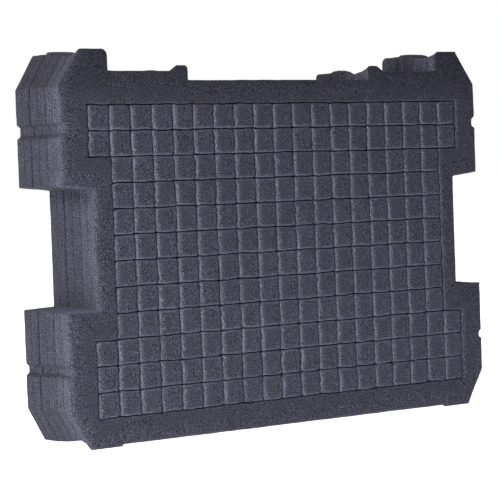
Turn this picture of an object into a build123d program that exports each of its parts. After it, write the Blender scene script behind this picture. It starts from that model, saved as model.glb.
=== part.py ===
from build123d import *
import os

# A scored foam insert for a tool case, standing on its lower long edge with its face towards -Y.
# The front block is cut into plucking cubes inside a solid border, and an uncut base pad lies behind it.
# Millimetres. X runs along the insert, Y through its thickness and Z up; the origin is below its middle.

# Driving dimensions
pitch = 22.2  # cube pitch, both ways
kerf = 0.7  # width of each cut
ply = 10.9  # thickness of one laminated foam sheet
base_plies = 2
seam = 0.3  # clearance between the base pad and the block that lies on it

# The grid's rows from the top, as (first row, row after the last, columns)
bands = ((0, 2, 19), (2, 9, 17), (9, 12, 19))
rows = 12
left_columns = 10  # cubes left of the cut that halves a full row

# How far the waisted cut draws in each sheet's (sides, top, foot), from the front sheet to the seam, and
# how far it slants: it raises the lower ledge of each recess, and lowers the humps, by the last value
block_insets = (
    (0.0, 0.0, 0.0, 0.2),
    (5.6, 4.4, 5.2, 0.6),
    (6.6, 5.6, 6.1, 1.0),
    (6.2, 3.0, 4.8, 1.4),
    (4.9, 0.0, 3.9, 1.8),
)
base_insets = (4.3, 1.5, 3.6, 2.3)
bevel_share = 0.3  # share of the sides' inset that a bevel's far end follows

# Outline of the front sheet, right half. Heights are measured from the middle of the grid.
half_width = 238.5
lobe_top = 180.7
lobe_inner = 188.0
notch_floor = 162.1
hump_top = 167.2
hump_inner = 103.5
hump_outer = 115.4
hump_foot = 123.2
main_top = 154.1
top_chamfer = (22.0, 31.3)  # width and height of the bevel on an upper corner
foot_chamfer = (19.4, 32.9)
recess_wall = 207.6
recess_top = 65.1
recess_foot = -42.4
ledge_slopes = (3.3, 1.0)  # how far a recess's upper and lower ledge close in towards its wall
grooves = ((112.9, 12.6, 3.5), (-91.7, 10.6, 2.9))  # middle height, mouth and depth of each side groove
groove_slope = 2.5  # how much narrower a groove's floor is than its mouth, at each end
foot_step = 186.5
main_foot = -156.5
foot = -158.3

lobe_radius = 6.0  # upper inner corner of each lobe
hump_radius = 4.0  # upper inner corner of each hump

block_plies = len(block_insets)
thickness = (base_plies + block_plies) * ply + seam
block_back = thickness / 2 - base_plies * ply - seam
grid_height = -foot


def face_plane(y):
    """The plane at depth y whose sketches are seen from the front, with the middle of the grid as centre."""
    return Plane(origin=(0, y, grid_height), x_dir=(1, 0, 0), z_dir=(0, -1, 0))


def groove(wall, height, mouth, depth):
    """The corners of one side groove, from its upper lip to its lower lip."""
    upper = height + mouth / 2
    lower = height - mouth / 2
    return [
        (wall, upper),
        (wall - depth, upper - groove_slope),
        (wall - depth, lower + groove_slope),
        (wall, lower),
    ]


def right_outline(side, top, bottom, slant):
    """The right half of the outline, from the top down, drawn in at the side, top and bottom.

    The slant raises the lower ledge of its recess and lowers its hump.
    """
    wall = half_width - side
    low = foot + bottom
    bevel_end = half_width - side * bevel_share
    upper_groove, lower_groove = grooves
    return [
        (hump_inner, main_top - top),
        (hump_inner, hump_top - slant - top),
        (hump_outer, hump_top - slant - top),
        (hump_foot, notch_floor - top),
        (lobe_inner, notch_floor - top),
        (lobe_inner, lobe_top - top),
        (bevel_end - top_chamfer[0], lobe_top - top),
        (wall, lobe_top - top_chamfer[1]),
        *groove(wall, *upper_groove),
        (wall, recess_top),
        (recess_wall - side, recess_top - ledge_slopes[0]),
        (recess_wall - side, recess_foot + slant + ledge_slopes[1]),
        (wall, recess_foot + slant),
        *groove(wall, *lower_groove),
        (wall, foot + foot_chamfer[1]),
        (bevel_end - foot_chamfer[0], low),
        (foot_step, low),
        (foot_step, main_foot + bottom),
    ]


def foam_sheet(label, front, insets, scored):
    """Makes and writes one sheet, whose rear face is at depth front + ply.

    The insets draw in its outline. A scored sheet is only the border round the grid.
    """
    right = right_outline(*insets)
    left = [(-x, z) for x, z in reversed(right)]
    with BuildPart() as sheet:
        with BuildSketch(face_plane(front + ply)):
            with BuildLine():
                Polyline(*right, *left, close=True)
            make_face()
            for first, after, columns in bands if scored else ():
                with Locations((0, (rows - first - after) / 2 * pitch)):
                    Rectangle(columns * pitch + kerf, (after - first) * pitch + kerf, mode=Mode.SUBTRACT)
        extrude(amount=ply)
        corners = sheet.edges().filter_by(Axis.Y)
        top_corners = corners.group_by(Axis.Z)[-1].sort_by(Axis.X)
        hump_corners = [
            corners.sort_by_distance((x, front, grid_height + hump_top - insets[3] - insets[1]))[0]
            for x in (-hump_inner, hump_inner)
        ]
        fillet(top_corners[1:-1], lobe_radius)
        fillet(hump_corners, hump_radius)
    write(sheet, label)


def write(piece, label):
    """Labels a finished piece and writes it to its own file."""
    piece.part.label = label
    export_step(piece.part, f"parts/{label}.step")


def columns_in(row):
    """How many cubes a row holds."""
    return next(columns for first, after, columns in bands if first <= row < after)


os.makedirs("parts", exist_ok=True)

# Base pad: two plain sheets behind the block
for number, place in enumerate(("front", "rear")):
    front = block_back + seam + number * ply
    foam_sheet(f"base_ply_{place}", front, base_insets, scored=False)

# Border of the scored block, one ring from each sheet, numbered from the front
for number, insets in enumerate(block_insets):
    foam_sheet(f"border_ply_{number + 1}", number * ply - thickness / 2, insets, scored=True)

# Plucking cubes: each row in two groups that meet at one cut
for row in range(rows):
    columns = columns_in(row)
    left_count = left_columns - (columns_in(0) - columns) // 2
    left_edge = -columns * pitch / 2
    groups = (
        ("left", left_edge, left_count),
        ("right", left_edge + left_count * pitch, columns - left_count),
    )
    for side, start, count in groups:
        with BuildPart() as cubes:
            with BuildSketch(face_plane(block_back)):
                with Locations((start + count * pitch / 2, (rows / 2 - row - 0.5) * pitch)):
                    with GridLocations(pitch, pitch, count, 1):
                        Rectangle(pitch - kerf, pitch - kerf)
            extrude(amount=block_plies * ply)
        write(cubes, f"cubes_row_{row + 1:02d}_{side}")
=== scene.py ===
import bpy
import math
import numpy as np
from mathutils import Matrix, Vector, noise
from mathutils.geometry import delaunay_2d_cdt


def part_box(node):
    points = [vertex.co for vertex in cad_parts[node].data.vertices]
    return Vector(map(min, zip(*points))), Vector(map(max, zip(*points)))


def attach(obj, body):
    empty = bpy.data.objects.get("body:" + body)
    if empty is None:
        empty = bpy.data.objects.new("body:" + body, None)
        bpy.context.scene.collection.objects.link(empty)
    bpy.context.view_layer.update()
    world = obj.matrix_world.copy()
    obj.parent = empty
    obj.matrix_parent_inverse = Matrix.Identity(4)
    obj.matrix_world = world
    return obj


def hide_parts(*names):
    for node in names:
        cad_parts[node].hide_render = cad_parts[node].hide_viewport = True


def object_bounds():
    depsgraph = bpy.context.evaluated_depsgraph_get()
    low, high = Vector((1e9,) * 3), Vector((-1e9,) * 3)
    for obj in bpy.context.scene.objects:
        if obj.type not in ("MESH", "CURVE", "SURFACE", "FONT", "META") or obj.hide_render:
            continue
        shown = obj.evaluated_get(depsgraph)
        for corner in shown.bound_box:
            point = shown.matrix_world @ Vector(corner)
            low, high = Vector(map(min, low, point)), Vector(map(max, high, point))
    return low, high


# A scored foam insert for a tool case: five bordered sheets with plucking cubes, over two plain base sheets.
# Metres, in the CAD frame: X along the insert, Y from the scored face to the back, Z up.

MM = 0.001
SEED = 1
noise.seed_set(SEED)  # noise_vector starts from the clock unless it is seeded

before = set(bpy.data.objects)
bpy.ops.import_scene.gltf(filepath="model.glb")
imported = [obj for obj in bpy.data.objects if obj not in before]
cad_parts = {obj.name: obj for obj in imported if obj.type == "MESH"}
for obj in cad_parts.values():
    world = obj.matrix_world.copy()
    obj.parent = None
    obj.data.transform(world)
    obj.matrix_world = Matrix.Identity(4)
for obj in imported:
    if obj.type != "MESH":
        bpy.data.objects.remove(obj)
cad_low, cad_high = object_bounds()

FACE_Y = cad_low.y
BASE_NODES = ("base_ply_front", "base_ply_rear")
BORDER_NODES = tuple(f"border_ply_{number}" for number in range(1, 6))
CUBE_NODES = tuple(sorted(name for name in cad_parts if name.startswith("cubes_")))

# The waisted cut: how far the block's walls are drawn in behind the face, as (depth, inset) in mm
SIDE_WAIST = (
    (0, 0), (3.5, 0), (6.5, 1.5), (10.9, 4.8), (16, 5.9), (21.8, 6.4), (32.7, 6.7), (43.6, 5.6), (54.5, 4.3),
)
TOP_WAIST = (
    (0, 0), (1, 0), (3.8, 1.5), (12.4, 3.8), (20.9, 5.3), (28.2, 5.8), (35.3, 4.7), (41, 1.4), (46.6, 0),
)
FOOT_WAIST = (
    (0, 0), (2, 0), (10.9, 3.7), (17, 6.0), (21.8, 6.6), (27, 6.3), (32.7, 5.5), (43.6, 4.2), (54.5, 3.8),
)
SLANT = ((0, 0), (54.5, 2.1))  # and how far the recesses' lower ledges rise and the humps fall
WAISTS = (SIDE_WAIST, TOP_WAIST, FOOT_WAIST, SLANT)
WALL_X = 200 * MM  # an outline corner further out than this stands on a side wall
TOP_Z = 310 * MM  # one above this stands on the top edge
FOOT_Z = 5 * MM  # and one below this on the foot
LEDGE_Z = (113 * MM, 120 * MM)  # one on a side wall between these stands on a recess's lower ledge
HUMP_X, HUMP_Z = 120 * MM, 321 * MM  # one nearer the middle and above this stands on a hump
BEVEL_SHARE = 0.3  # share of the side's inset that a bevel's far end follows
RIGHT_SPREAD = 0.7 * MM  # how much wider the right side is cut

WALL_SPACING = 1.7 * MM  # between points along a wall
CORNER_SPACING = 0.7 * MM  # between the last points before a corner
CORNER_PASSES = 2  # smoothing passes that take the edge off a corner
FACE_SPACING = 4.0 * MM  # between points on the border's face
WALL_STEP = 2.0 * MM  # between rings, from front to back

# Rounded edges, as (inset from the wall, drop from the face) in mm, from the face outwards
FACE_EDGE = ((5.5, 0.0), (4.2, 0.12), (3.0, 0.36), (1.9, 0.75), (1.0, 1.25), (0.3, 1.95), (0.0, 2.8))
LEFT_EDGE = ((4.8, 0.0), (3.4, 0.1), (2.3, 0.28), (1.5, 0.55), (0.85, 0.95), (0.4, 1.45), (0.1, 2.1), (0.0, 2.8))
RIGHT_EDGE = ((13.0, 0.0), (8.0, 0.2), (4.0, 0.42), (1.5, 0.65), (0.6, 0.9), (0.2, 1.3), (0.0, 2.0))
LEVEL_EDGE = ((2.4, 0.05), (1.3, 0.2), (0.6, 0.55), (0.2, 1.1), (0.0, 1.9))
PLY_EDGE = ((0.7, 0.0), (0.25, 0.2), (0.0, 0.6))
SEAM_EDGE = ((3.2, 0.0), (1.5, 0.3), (0.5, 0.8), (0.0, 1.5))
BACK_EDGE = ((0.5, 0.0), (0.15, 0.15), (0.0, 0.5))
NO_EDGE = ((0.0, 0.0),)
SOFT_SHARE = 0.45  # the top, foot and ledges are rounded this much, against 1 on the side walls
CUT_SHARE = 0.35  # beside the grid the border is rounded this much, against 1 where it faces left
GRID_FALL = 0.25 * MM  # how far the border's face falls away towards the grid
GRID_FALL_WIDTH = 9 * MM
CUT_OPEN = 0.3 * MM  # how far the foam draws back from each side of an upright cut
LEVEL_OPEN = 0.2 * MM  # and of a level one
FACE_REACH = 3 * MM  # how far down its rounded outer edge the unevenness of the border's face reaches

# Unevenness of the foam. Each kind takes its own slice of the noise.
CUT_WANDER = 0.55 * MM  # slow wander of a cut
CUT_WANDER_LENGTH = 19 * MM
CUT_JAG = 1.5 * MM  # quick jags along an upright cut
LEVEL_JAG = 0.75 * MM  # and along a level one
CUT_JAG_LENGTH = 4.0 * MM
JAG_SLICE = 0.5
FACE_RIPPLE = 0.22 * MM
FACE_RIPPLE_LENGTH = 16 * MM
FACE_SLICE = 3.0
WALL_RIPPLE = 0.25 * MM
WALL_RIPPLE_LENGTH = 11 * MM
WALL_SQUEEZE = 2.5  # how much shorter the ripples are from front to back
BORDER_FALL = 1.1 * MM  # how far the border's face falls away towards its outer edge
BORDER_FALL_WIDTH = 22 * MM
CUBE_STEP = 0.18 * MM  # how far a cube sits in or out
CUBE_STEP_LENGTH = 9 * MM
CUBE_SLICE = 7.0
CUBE_SPACING = 1.2 * MM  # between points up a cube's face

# The foam's look. Amounts are shares of the foam's colour, and scales are in pattern cells per metre.
FOAM_COLOUR = (0.0362, 0.0358, 0.0545)
PLY_PAINTED_SHADES = (1.03, 0.96, 0.82, 0.63, 0.61)  # painted shade: the block's plies are made darker from front to back because their side walls get less light towards the back
# painted shade: the base sheets, furthest back, are darkest of all
BASE_PAINTED_SHADE = 0.58
CUBE_TONE = 1.17
ROUGHNESS = 0.9
SPECULAR = 0.2
GRAIN = 6.4
GRAIN_SCALES = (1150.0, 2300.0)
WALL_GRAIN = 0.25  # how much stronger the grain is on a cut wall
MOTTLE = 0.35
MOTTLE_SCALE = 45.0
WALL_PALE_AND_LIT = 0.82  # how much paler a cut wall is than a face: partly the cut foam's own paler surface, partly painted light from the left
# the cubes' walls are paler still: the cut foam's paler surface plus a painted highlight on their rounded left edges
CUBE_PALE_AND_LIT = 1.9
BEVEL_PAINTED_SHADE = 2.2  # painted shade: how fast a wall loses that as it turns into a bevel, so bevels facing up or down look less lit
LINES = 2.7  # lines along the plies
LINE_SCALE = 600.0
LINE_STRETCH = 0.05
SPECKS = 2.0
CELL_SCALE = 420.0
SPECK_SIZE = 0.22
SPECK_SCALE = 900.0  # of the noise that picks which cells hold a speck
SPECK_LEVEL = 0.55  # a cell holds one where that noise is above this
TOP_PAINTED_LIGHT = 2.6  # painted light: how much paler upward faces are made, as if lit from above
TOP_PAINTED_LIGHT_POWER = 6.0  # how closely that keeps to the level ones
DARKEST = 0.15
SHADE_LOW, SHADE_HIGH = 0.285, 0.337  # a face gets darker between these heights
SHADE = 0.66  # down to this share
BUMP_STRENGTH = 0.6
BUMP_DEPTH = 0.35 * MM

# Floor, backdrop and lights
FLOOR_COLOUR = (0.85, 0.85, 0.85, 1)
FLOOR_GLOW = 1.2
FLOOR_LEFT, FLOOR_FRONT, FLOOR_FAR = -0.95, -0.65, 12.0
WORLD_LIGHT = 0.08
LIGHT_AIM = Vector((0, 0, 0.17))
WARM = (1.0, 0.975, 0.91)
PALE_WARM = (1.0, 0.98, 0.93)
WHITE = (1.0, 1.0, 1.0)
LIGHTS = (  # name, place, size, power and colour
    ("key", (-1.92, -0.92, 1.05), (0.9, 0.7), 37, WARM),
    ("near_fill", (-1.05, -0.48, 0.15), (0.4, 0.25), 4.6, PALE_WARM),
    ("back_fill", (-1.3, 1.9, 0.5), (0.9, 0.7), 9, WARM),
    ("front_fill", (0.6, -2.4, 0.9), (1.2, 1.2), 1.5, WHITE),
    ("top_light", (0.0, 1.0, 1.9), (1.2, 1.2), 16, WHITE),
)

# Camera
AZIMUTH, ELEVATION, ROLL = math.radians(37.93), math.radians(1.8), math.radians(2.1)
CAMERA_DISTANCE = 1.979
CAMERA_AIM = Vector((-0.0436, FACE_Y, 0.161))
LENS, SENSOR = 160.2, 36


def wander(x, z):
    """How far a cut is pushed sideways at a place on the face: the same on both sides of a cut."""
    slow = noise.noise_vector(Vector((x, 0.0, z)) / CUT_WANDER_LENGTH)
    quick = noise.noise_vector(Vector((x, JAG_SLICE, z)) / CUT_JAG_LENGTH)
    return slow.x * CUT_WANDER + quick.x * CUT_JAG, slow.z * CUT_WANDER + quick.z * LEVEL_JAG


def wandered(points):
    """The points of a cut, each pushed sideways."""
    return points + np.array([wander(x, z) for x, z in points])


def face_depth(x, z):
    """Depth of the scored face's gently uneven surface."""
    return FACE_Y + noise.noise(Vector((x, FACE_SLICE, z)) / FACE_RIPPLE_LENGTH) * FACE_RIPPLE


def face_depths(points):
    return np.array([face_depth(x, z) for x, z in points])


# Outlines


def face_loops(node):
    """The closed outlines, outer one first, of a CAD sheet's front face, as (x, z) corners."""
    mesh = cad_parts[node].data
    front = min(v.co.y for v in mesh.vertices)
    uses = set()
    for polygon in mesh.polygons:
        corners = [mesh.vertices[i].co for i in polygon.vertices]
        if all(abs(c.y - front) < 1e-6 for c in corners):
            keys = [(round(c.x, 6), round(c.z, 6)) for c in corners]
            uses.update(zip(keys, keys[1:] + keys[:1]))
    follow = {a: b for a, b in uses if (b, a) not in uses}
    loops = []
    while follow:
        at = min(follow)
        loop = []
        while at in follow:
            loop.append(at)
            at = follow.pop(at)
        loops.append(straightened(np.array(loop)))
    return sorted(loops, key=lambda points: -abs(area(points)))


def area(points):
    """Signed area of a closed outline, positive when it runs anticlockwise."""
    after = np.roll(points, -1, axis=0)
    return float(np.sum(points[:, 0] * after[:, 1] - points[:, 1] * after[:, 0])) / 2


def directions(corners):
    """The direction of each edge of a closed outline."""
    edges = np.roll(corners, -1, axis=0) - corners
    return edges / np.linalg.norm(edges, axis=1)[:, None]


def straightened(loop):
    """The outline without the points that lie along a straight edge, running anticlockwise."""
    if area(loop) < 0:
        loop = loop[::-1]
    after = directions(loop)
    before = np.roll(after, 1, axis=0)
    turn = before[:, 0] * after[:, 1] - before[:, 1] * after[:, 0]
    return loop[np.abs(turn) > 1e-3]


def drawn_in(corners, insets):
    """The outline with each edge moved inwards by its own inset, its corners mitred."""
    after = directions(corners)
    after = np.stack([-after[:, 1], after[:, 0]], axis=1)
    before = np.roll(after, 1, axis=0)
    first = np.roll(insets, 1)[:, None]
    second = insets[:, None]
    cosine = np.sum(before * after, axis=1)[:, None]
    return corners + (before * (first - second * cosine) + after * (second - first * cosine)) / (1 - cosine**2)


class Outline:
    """A closed outline of straight edges and the places along it where a wall's points stand."""

    def __init__(self, corners, share=None, waisted=False):
        self.corners = corners
        ends = np.roll(corners, -1, axis=0)
        runs = np.linalg.norm(ends - corners, axis=1)
        steps = [edge_steps(run) for run in runs]
        self.edge = np.repeat(np.arange(len(corners)), [len(s) for s in steps])
        self.along = np.concatenate(steps)[:, None]
        self.shares = np.array([edge_share(a, b) for a, b in zip(corners, ends)]) if share is None else share
        self.weights = np.array([waist_weights(*corner) for corner in corners]) * waisted

    def spread(self, values):
        """Values at the corners, spread over the points."""
        ends = np.roll(values, -1, axis=0)
        return values[self.edge] * (1 - self.along) + ends[self.edge] * self.along

    def ring(self, inset, depth, drop):
        """The points and depths of one ring, drawn in by inset and dropped behind a depth where its edge is round."""
        points = self.spread(drawn_in(self.corners, inset * self.shares))
        depths = depth + drop * self.shares[self.edge]
        side, top, foot, slant = (np.interp((depths - FACE_Y) / MM, *np.transpose(waist)) * MM for waist in WAISTS)
        side_weight, top_weight, foot_weight, slant_weight = self.spread(self.weights).T
        points[:, 0] -= side * side_weight - RIGHT_SPREAD * np.maximum(side_weight, 0)
        points[:, 1] += foot * foot_weight - top * top_weight + slant * slant_weight
        for _ in range(CORNER_PASSES):
            points = smoothed(points)
            depths = smoothed(depths)
        return points, depths


def edge_steps(run):
    """Shares of an edge's run where points stand: closer together beside its corners."""
    near = CORNER_SPACING / run
    if near > 0.2:
        count = max(1, round(1 / near))
        return np.arange(count) / count
    count = max(1, round((1 - 4 * near) * run / WALL_SPACING))
    middle = np.linspace(2 * near, 1 - 2 * near, count + 1)
    return np.concatenate([[0, near], middle, [1 - near]])


def edge_share(a, b):
    """How much of the full rounding an edge takes: a side wall takes all of it."""
    upright = abs(a[0] - b[0]) < abs(a[1] - b[1])
    return 1.0 if upright and min(abs(a[0]), abs(b[0])) > WALL_X else SOFT_SHARE


def cut_shares(corners):
    """How much of the full rounding each edge of the grid's outline takes: all where the border faces left."""
    upward = directions(corners)[:, 1]
    return np.where(upward > 0.5, 1.0, CUT_SHARE)


def waist_weights(x, z):
    """How much an outline corner follows the waist of the sides, the top and the foot, and the slant."""
    top, foot = z > TOP_Z, z < FOOT_Z
    side = (BEVEL_SHARE if top or foot else 1.0) if abs(x) > WALL_X else 0.0
    rises = side == 1.0 and LEDGE_Z[0] < z < LEDGE_Z[1]
    falls = abs(x) < HUMP_X and z > HUMP_Z
    return math.copysign(side, x), float(top), float(foot), float(rises) - float(falls)


def smoothed(values):
    """A closed run of values, each drawn halfway to its neighbours."""
    return (np.roll(values, 1, axis=0) + values * 2 + np.roll(values, -1, axis=0)) / 4


# Meshes


class Shell:
    """Vertices and faces of one closed foam piece, built ring by ring."""

    def __init__(self):
        self.vertices = []
        self.faces = []

    def ring(self, points, depths):
        """Adds a ring of (x, z) points, each at its own depth, and returns the numbers of its vertices."""
        first = len(self.vertices)
        self.vertices += [(x, y, z) for (x, z), y in zip(points.tolist(), depths.tolist())]
        return list(range(first, len(self.vertices)))

    def join(self, front, back):
        """Joins two rings of one count with quads. Rings run anticlockwise as seen from the front."""
        for i in range(len(front)):
            j = (i + 1) % len(front)
            self.faces.append((front[i], back[i], back[j], front[j]))

    def strip(self, rings):
        for front, back in zip(rings, rings[1:]):
            self.join(front, back)

    def flat(self, ring):
        """A ring's points as (x, z)."""
        return np.array([(self.vertices[i][0], self.vertices[i][2]) for i in ring])

    def cap(self, loops, depth=None, facing_front=True):
        """Fills the area between an outer ring and any inner ones, with its own points where a depth is given."""
        numbers = [i for loop in loops for i in loop]
        outlines = [self.flat(loop) for loop in loops]
        edges, start = [], 0
        for loop in loops:
            edges += [(start + i, start + (i + 1) % len(loop)) for i in range(len(loop))]
            start += len(loop)
        flat = np.concatenate(outlines + [face_grid(outlines)] if depth else outlines)
        points, _, faces, origins, _, _ = delaunay_2d_cdt([Vector(p) for p in flat], edges, [], 0, 1e-7)
        known = []
        for point, old in zip(points, origins):
            real = [o for o in old if o < len(numbers)]
            if real:
                known.append(numbers[real[0]])
            else:
                known.append(len(self.vertices))
                y = depth(*point) if depth else self.vertices[numbers[0]][1]
                self.vertices.append((point.x, y, point.y))
        centres = np.array([sum((points[i] for i in face), Vector((0, 0))) / len(face) for face in faces])
        for face, kept in zip(faces, within(outlines, centres)):
            if not kept:
                continue
            corners = [known[i] for i in face]
            if (points[face[1]] - points[face[0]]).cross(points[face[2]] - points[face[0]]) < 0:
                corners.reverse()
            self.faces.append(corners if facing_front else corners[::-1])

    def make(self, name, material):
        mesh = bpy.data.meshes.new(name)
        mesh.from_pydata(self.vertices, [], self.faces)
        mesh.validate()
        mesh.materials.append(material)
        mesh.polygons.foreach_set("use_smooth", [True] * len(mesh.polygons))
        piece = bpy.data.objects.new(name, mesh)
        bpy.context.scene.collection.objects.link(piece)
        return piece


def within(outlines, points):
    """Which points lie inside the first outline and outside the others."""
    crossings = np.zeros(len(points), int)
    for outline in outlines:
        for (ax, az), (bx, bz) in zip(outline, np.roll(outline, -1, axis=0)):
            spans = (az > points[:, 1]) != (bz > points[:, 1])
            if az != bz:
                crossings += spans & (points[:, 0] < ax + (bx - ax) * (points[:, 1] - az) / (bz - az))
    return crossings % 2 == 1


def face_grid(outlines):
    """Evenly spread points on the area between the first outline and the others, clear of every outline."""
    edge_points = np.concatenate(outlines)
    low, high = edge_points.min(axis=0), edge_points.max(axis=0)
    found = [
        (x, z)
        for row, z in enumerate(np.arange(low[1], high[1], FACE_SPACING))
        for x in np.arange(low[0] + (row % 2) * FACE_SPACING / 2, high[0], FACE_SPACING)
        if np.min(np.hypot(edge_points[:, 0] - x, edge_points[:, 1] - z)) > FACE_SPACING * 0.6
    ]
    found = np.array(found)
    return found[within(outlines, found)]


def nearness(outline, width, x, z):
    """How near a place on the face lies to an outline: 1 on it, and 0 further off than a width."""
    here = np.array((x, z))
    starts = outline.corners
    runs = np.roll(starts, -1, axis=0) - starts
    along = np.clip(np.sum((here - starts) * runs, axis=1) / np.sum(runs**2, axis=1), 0, 1)
    distance = float(np.min(np.linalg.norm(starts + runs * along[:, None] - here, axis=1)))
    return max(0.0, 1 - distance / width)


def border_depth(x, z):
    """Depth of the border's face, which falls away towards its edges."""
    fall = BORDER_FALL * nearness(outer_outline, BORDER_FALL_WIDTH, x, z) ** 2
    fall += GRID_FALL * nearness(grid_outline, GRID_FALL_WIDTH, x, z) ** 2
    return face_depth(x, z) + fall


# Foam sheets


def sheet_levels(low, high, front_edge, back_edge):
    """A sheet's wall from front to back, as (inset, depth, drop): a drop follows how round the edge is there."""
    levels = [(inset * MM, low, drop * MM) for inset, drop in front_edge]
    start, end = low + front_edge[-1][1] * MM, high - back_edge[-1][1] * MM
    steps = max(2, round((end - start) / WALL_STEP))
    levels += [(0.0, start + (end - start) * step / steps, 0.0) for step in range(1, steps)]
    return levels + [(inset * MM, high, -drop * MM) for inset, drop in reversed(back_edge)]


def rippled(points, depths):
    """A wall's points, pushed in and out by the foam's unevenness."""
    along = np.roll(points, -1, axis=0) - np.roll(points, 1, axis=0)
    along /= np.linalg.norm(along, axis=1)[:, None]
    push = [
        noise.noise(Vector((x, y * WALL_SQUEEZE, z)) / WALL_RIPPLE_LENGTH) * WALL_RIPPLE
        for (x, z), y in zip(points, depths)
    ]
    return points + np.stack([along[:, 1], -along[:, 0]], axis=1) * np.array(push)[:, None]


def foam_sheet(node, material, front_edge, back_edge):
    """Makes the foam sheet that stands for a CAD node. A scored one is the border round the grid."""
    low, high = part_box(node)
    scored = node in BORDER_NODES
    foremost = front_edge is FACE_EDGE
    outline = outer_outline if scored else Outline(face_loops(node)[0])
    shell = Shell()
    outer = []
    for inset, depth, drop in sheet_levels(low.y, high.y, front_edge, back_edge):
        points, depths = outline.ring(inset, depth, drop)
        points = rippled(points, depths)
        if foremost and drop + depth < low.y + FACE_REACH:
            depths = depths + [border_depth(x, z) - FACE_Y for x, z in points]
        outer.append(shell.ring(points, depths))
    shell.strip(outer)
    fronts, backs = [outer[0]], [outer[-1]]
    if scored:
        inner = []
        for inset, drop in LEFT_EDGE if foremost else NO_EDGE:
            points, depths = grid_outline.ring(-CUT_OPEN - inset * MM, low.y, drop * MM)
            if foremost:
                depths = depths - low.y + [border_depth(x, z) for x, z in points]
            inner.append(shell.ring(wandered(points), depths))
        inner.append(shell.ring(wandered(points), np.full(len(points), high.y)))
        shell.strip([ring[::-1] for ring in inner])
        fronts.append(inner[0])
        backs.append(inner[-1])
    shell.cap(fronts, border_depth if foremost else None)
    shell.cap(backs, facing_front=False)
    piece = shell.make(f"foam_{node}", material)
    finish_piece(piece, node, *(("scored_block", "block_foam") if scored else ("base_pad", "base_foam")))


def finish_piece(piece, node, body, slot):
    """Puts a piece on its body in place of its CAD node."""
    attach(piece, body)
    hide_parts(node)


# Cubes


def edge_profile(size, low_edge, high_edge):
    """Places across a cube's face and how far it drops at each, from the edge at 0 to the one at size."""
    places = [inset * MM for inset, _ in reversed(low_edge)]
    drops = [drop * MM for _, drop in reversed(low_edge)]
    gap = size - (low_edge[0][0] + high_edge[0][0]) * MM
    steps = max(1, round(gap / CUBE_SPACING))
    places += [places[-1] + gap * step / steps for step in range(1, steps)]
    drops += [drops[-1] + (high_edge[0][1] * MM - drops[-1]) * step / steps for step in range(1, steps)]
    places += [size - inset * MM for inset, _ in high_edge]
    drops += [drop * MM for _, drop in high_edge]
    return np.array(places), np.array(drops)


def cube(shell, middle, half, back, step):
    """One plucking cube round a middle (x, z), its face set in or out by step."""
    across, across_drops = edge_profile((half - CUT_OPEN) * 2, LEFT_EDGE, RIGHT_EDGE)
    up, up_drops = edge_profile((half - LEVEL_OPEN) * 2, LEVEL_EDGE, LEVEL_EDGE)
    x, z = (grid.ravel() for grid in np.meshgrid(across + CUT_OPEN - half, up + LEVEL_OPEN - half))
    x, z = x + middle[0], z + middle[1]
    points = wandered(np.stack([x, z], axis=1))
    drops = (up_drops[:, None] + across_drops).ravel()
    face = np.array(shell.ring(points, face_depths(points) + step + drops)).reshape(len(up), len(across))
    rows = zip(face, face[1:])
    shell.faces += [(a, b, d, c) for low, high in rows for a, b, c, d in zip(low, low[1:], high, high[1:])]
    rim = np.concatenate([face[0, :-1], face[:-1, -1], face[-1, :0:-1], face[:0:-1, 0]])
    rim_points = shell.flat(rim)
    rear = shell.ring(rim_points, np.full(len(rim), back))
    shell.join(list(rim), rear)
    shell.faces.append(tuple(reversed(rear)))


def cube_row(node, body):
    """The cubes of one CAD node."""
    low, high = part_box(node)
    size = high.z - low.z
    count = round((high.x - low.x) / size)
    shell = Shell()
    for x in np.linspace(low.x + size / 2, high.x - size / 2, count):
        step = noise.noise(Vector((x, CUBE_SLICE, low.z)) / CUBE_STEP_LENGTH) * CUBE_STEP
        cube(shell, np.array((x, (low.z + high.z) / 2)), size / 2, high.y, step)
    piece = shell.make(f"foam_{node}", cube_foam)
    finish_piece(piece, node, body, "cube_foam")


# Material


class Tree:
    """A material's nodes, with its place on the piece and the direction that its surface faces."""

    def __init__(self, material):
        self.nodes, self.link = material.node_tree.nodes, material.node_tree.links.new
        self.shader = self.nodes["Principled BSDF"]
        self.place = self.nodes.new("ShaderNodeTexCoord").outputs["Object"]
        self.facing = self.parts(self.nodes.new("ShaderNodeNewGeometry").outputs["Normal"])

    def parts(self, vector):
        """The X, Y and Z of a vector."""
        separate = self.nodes.new("ShaderNodeSeparateXYZ")
        self.link(vector, separate.inputs["Vector"])
        return separate.outputs

    def combine(self, operation, *values):
        node = self.nodes.new("ShaderNodeMath")
        node.operation = operation
        for value, socket in zip(values, node.inputs):
            if isinstance(value, float):
                socket.default_value = value
            else:
                self.link(value, socket)
        return node.outputs[0]

    def total(self, first, *others):
        for other in others:
            first = self.combine("ADD", first, other)
        return first

    def product(self, first, *others):
        for other in others:
            first = self.combine("MULTIPLY", first, other)
        return first

    def noise(self, scale, detail, vector=None):
        texture = self.nodes.new("ShaderNodeTexNoise")
        texture.inputs["Scale"].default_value = scale
        texture.inputs["Detail"].default_value = detail
        self.link(vector or self.place, texture.inputs["Vector"])
        return texture.outputs["Fac"]

    def varied(self, field, amount):
        """A field of values about a half, turned into one about zero."""
        return self.product(self.combine("SUBTRACT", field, 0.5), amount)


def ply_lines(tree):
    """Noise stretched out along the plies."""
    squeeze = tree.nodes.new("ShaderNodeMapping")
    squeeze.inputs["Scale"].default_value = (LINE_STRETCH, 1.0, LINE_STRETCH)
    tree.link(tree.place, squeeze.inputs["Vector"])
    return tree.noise(LINE_SCALE, 2.0, squeeze.outputs["Vector"])


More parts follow.
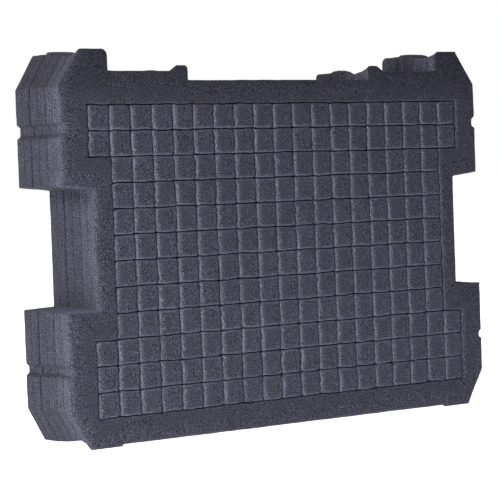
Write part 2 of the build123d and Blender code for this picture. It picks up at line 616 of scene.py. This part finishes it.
def wall_light(tree, wall, cells, pale_and_lit):
    """What is added on a cut wall: the cut foam's paler surface and painted light, less on a bevel as painted shade,
    with pale specks and lines along the plies.
    """
    # painted shade on bevels: the wall's added light is cut where the surface faces both sideways and up or down
    slope = tree.product(tree.facing["X"], tree.facing["Z"])
    square = tree.combine("SUBTRACT", 1.0, tree.product(slope, slope, BEVEL_PAINTED_SHADE))
    small = tree.combine("LESS_THAN", cells, SPECK_SIZE)
    specks = tree.product(small, tree.combine("GREATER_THAN", tree.noise(SPECK_SCALE, 0.0), SPECK_LEVEL))
    walled = tree.total(tree.varied(ply_lines(tree), LINES), tree.product(specks, SPECKS), pale_and_lit)
    return tree.product(walled, tree.product(wall, square))


def top_shade(tree):
    """The share to which the foam is darkened near its top edge."""
    shade = tree.nodes.new("ShaderNodeMapRange")
    shade.interpolation_type = "SMOOTHSTEP"
    for name, value in (("From Min", SHADE_LOW), ("From Max", SHADE_HIGH), ("To Min", 1.0), ("To Max", SHADE)):
        shade.inputs[name].default_value = value
    tree.link(tree.parts(tree.place)["Z"], shade.inputs["Value"])
    return shade.outputs["Result"]


def foam_material(name, brightness, pale_and_lit=WALL_PALE_AND_LIT):
    """Charcoal foam: open grain and slow mottling, paler on cut walls (partly painted light), with painted light on
    upward faces, and darker near the top.
    """
    material = bpy.data.materials.new(name)
    material.use_nodes = True
    tree = Tree(material)
    tree.shader.inputs["Roughness"].default_value = ROUGHNESS
    tree.shader.inputs["Specular IOR Level"].default_value = SPECULAR

    # how much a surface is a cut wall rather than a face
    wall = tree.combine("SQRT", tree.combine("SUBTRACT", 1.0, tree.product(tree.facing["Y"], tree.facing["Y"])))
    voronoi = tree.nodes.new("ShaderNodeTexVoronoi")
    voronoi.inputs["Scale"].default_value = CELL_SCALE
    tree.link(tree.place, voronoi.inputs["Vector"])
    cells = voronoi.outputs["Distance"]

    coarse, fine = (tree.noise(scale, 1.0) for scale in GRAIN_SCALES)
    grain = tree.total(tree.varied(coarse, GRAIN), tree.varied(fine, GRAIN))
    grain = tree.product(grain, tree.total(tree.product(wall, WALL_GRAIN), 1.0))
    mottle = tree.varied(tree.noise(MOTTLE_SCALE, 3.0), MOTTLE)
    # painted light: upward faces are made paler, standing in for light from above
    upward = tree.combine("MAXIMUM", tree.facing["Z"], 0.0)
    painted_top_light = tree.product(tree.combine("POWER", upward, TOP_PAINTED_LIGHT_POWER), TOP_PAINTED_LIGHT)
    walled = tree.total(wall_light(tree, wall, cells, pale_and_lit), painted_top_light)
    light = tree.combine("MAXIMUM", tree.total(grain, mottle, walled, 1.0), DARKEST)
    light = tree.product(light, tree.combine("MAXIMUM", top_shade(tree), wall))

    colour = tree.nodes.new("ShaderNodeVectorMath")
    colour.operation = "SCALE"
    colour.inputs[0].default_value = [channel * brightness for channel in FOAM_COLOUR]
    tree.link(light, colour.inputs["Scale"])
    tree.link(colour.outputs["Vector"], tree.shader.inputs["Base Color"])

    bump = tree.nodes.new("ShaderNodeBump")
    bump.inputs["Strength"].default_value = BUMP_STRENGTH
    bump.inputs["Distance"].default_value = BUMP_DEPTH
    tree.link(tree.total(coarse, fine, cells), bump.inputs["Height"])
    tree.link(bump.outputs["Normal"], tree.shader.inputs["Normal"])
    return material


# Floor, light and camera


def area_light(name, place, size, power, colour):
    """A soft box aimed at the insert."""
    lamp = bpy.data.lights.new(name, "AREA")
    lamp.shape = "RECTANGLE"
    lamp.size, lamp.size_y = size
    lamp.energy = power
    lamp.color = colour
    light = bpy.data.objects.new(name, lamp)
    light.location = place
    light.rotation_euler = (LIGHT_AIM - Vector(place)).to_track_quat("-Z", "Y").to_euler()
    bpy.context.scene.collection.objects.link(light)


def floor():
    """A plain white sweep, which ends a little in front of the insert and to its left."""
    mesh = bpy.data.meshes.new("floor")
    places = ((FLOOR_LEFT, FLOOR_FRONT), (FLOOR_FAR, FLOOR_FRONT), (FLOOR_FAR, FLOOR_FAR), (FLOOR_LEFT, FLOOR_FAR))
    corners = [(x, y, 0) for x, y in places]
    mesh.from_pydata(corners, [], [(0, 1, 2, 3)])
    material = bpy.data.materials.new("pale_floor")
    material.use_nodes = True
    shader = material.node_tree.nodes["Principled BSDF"]
    shader.inputs["Base Color"].default_value = FLOOR_COLOUR
    shader.inputs["Roughness"].default_value = ROUGHNESS
    shader.inputs["Emission Color"].default_value = (1, 1, 1, 1)
    shader.inputs["Emission Strength"].default_value = FLOOR_GLOW
    mesh.materials.append(material)
    plane = bpy.data.objects.new("floor", mesh)
    bpy.context.scene.collection.objects.link(plane)


def world_light():
    """A white backdrop that lights the foam less strongly than it looks."""
    world = bpy.data.worlds.new("studio")
    world.use_nodes = True
    nodes, link = world.node_tree.nodes, world.node_tree.links.new
    background = nodes["Background"]
    background.inputs["Color"].default_value = (1, 1, 1, 1)
    strength = nodes.new("ShaderNodeMapRange")
    strength.inputs["To Min"].default_value = WORLD_LIGHT
    link(nodes.new("ShaderNodeLightPath").outputs["Is Camera Ray"], strength.inputs["Value"])
    link(strength.outputs["Result"], background.inputs["Strength"])
    bpy.context.scene.world = world


def camera():
    """The view from the left and a little above."""
    level = math.cos(ELEVATION)
    ahead = Vector((math.sin(AZIMUTH) * level, math.cos(AZIMUTH) * level, -math.sin(ELEVATION)))
    turn = ahead.to_track_quat("-Z", "Y").to_matrix() @ Matrix.Rotation(-ROLL, 3, "Z")
    data = bpy.data.cameras.new("camera")
    data.lens = LENS
    data.sensor_width = SENSOR
    view = bpy.data.objects.new("camera", data)
    view.matrix_world = Matrix.Translation(CAMERA_AIM - ahead * CAMERA_DISTANCE) @ turn.to_4x4()
    bpy.context.scene.collection.objects.link(view)
    bpy.context.scene.camera = view


# the plies' materials differ only in painted shade, darker towards the back
ply_foams = [foam_material(f"block_foam_{number + 1}", brightness) for number, brightness in enumerate(PLY_PAINTED_SHADES)]
base_foam = foam_material("base_foam", BASE_PAINTED_SHADE)
cube_foam = foam_material("cube_foam", CUBE_TONE, CUBE_PALE_AND_LIT)

loops = face_loops(BORDER_NODES[0])
outer_outline = Outline(loops[0], waisted=True)
grid_outline = Outline(loops[1], cut_shares(loops[1]))

foam_sheet(BASE_NODES[0], base_foam, SEAM_EDGE, PLY_EDGE)
foam_sheet(BASE_NODES[1], base_foam, PLY_EDGE, BACK_EDGE)
for node, material in zip(BORDER_NODES, ply_foams):
    front_edge = FACE_EDGE if node == BORDER_NODES[0] else PLY_EDGE
    back_edge = SEAM_EDGE if node == BORDER_NODES[-1] else PLY_EDGE
    foam_sheet(node, material, front_edge, back_edge)
for node in CUBE_NODES:
    cube_row(node, node.removeprefix("cubes_"))

floor()
world_light()
for light in LIGHTS:
    area_light(*light)
camera()
bpy.context.scene.view_settings.view_transform = "Standard"
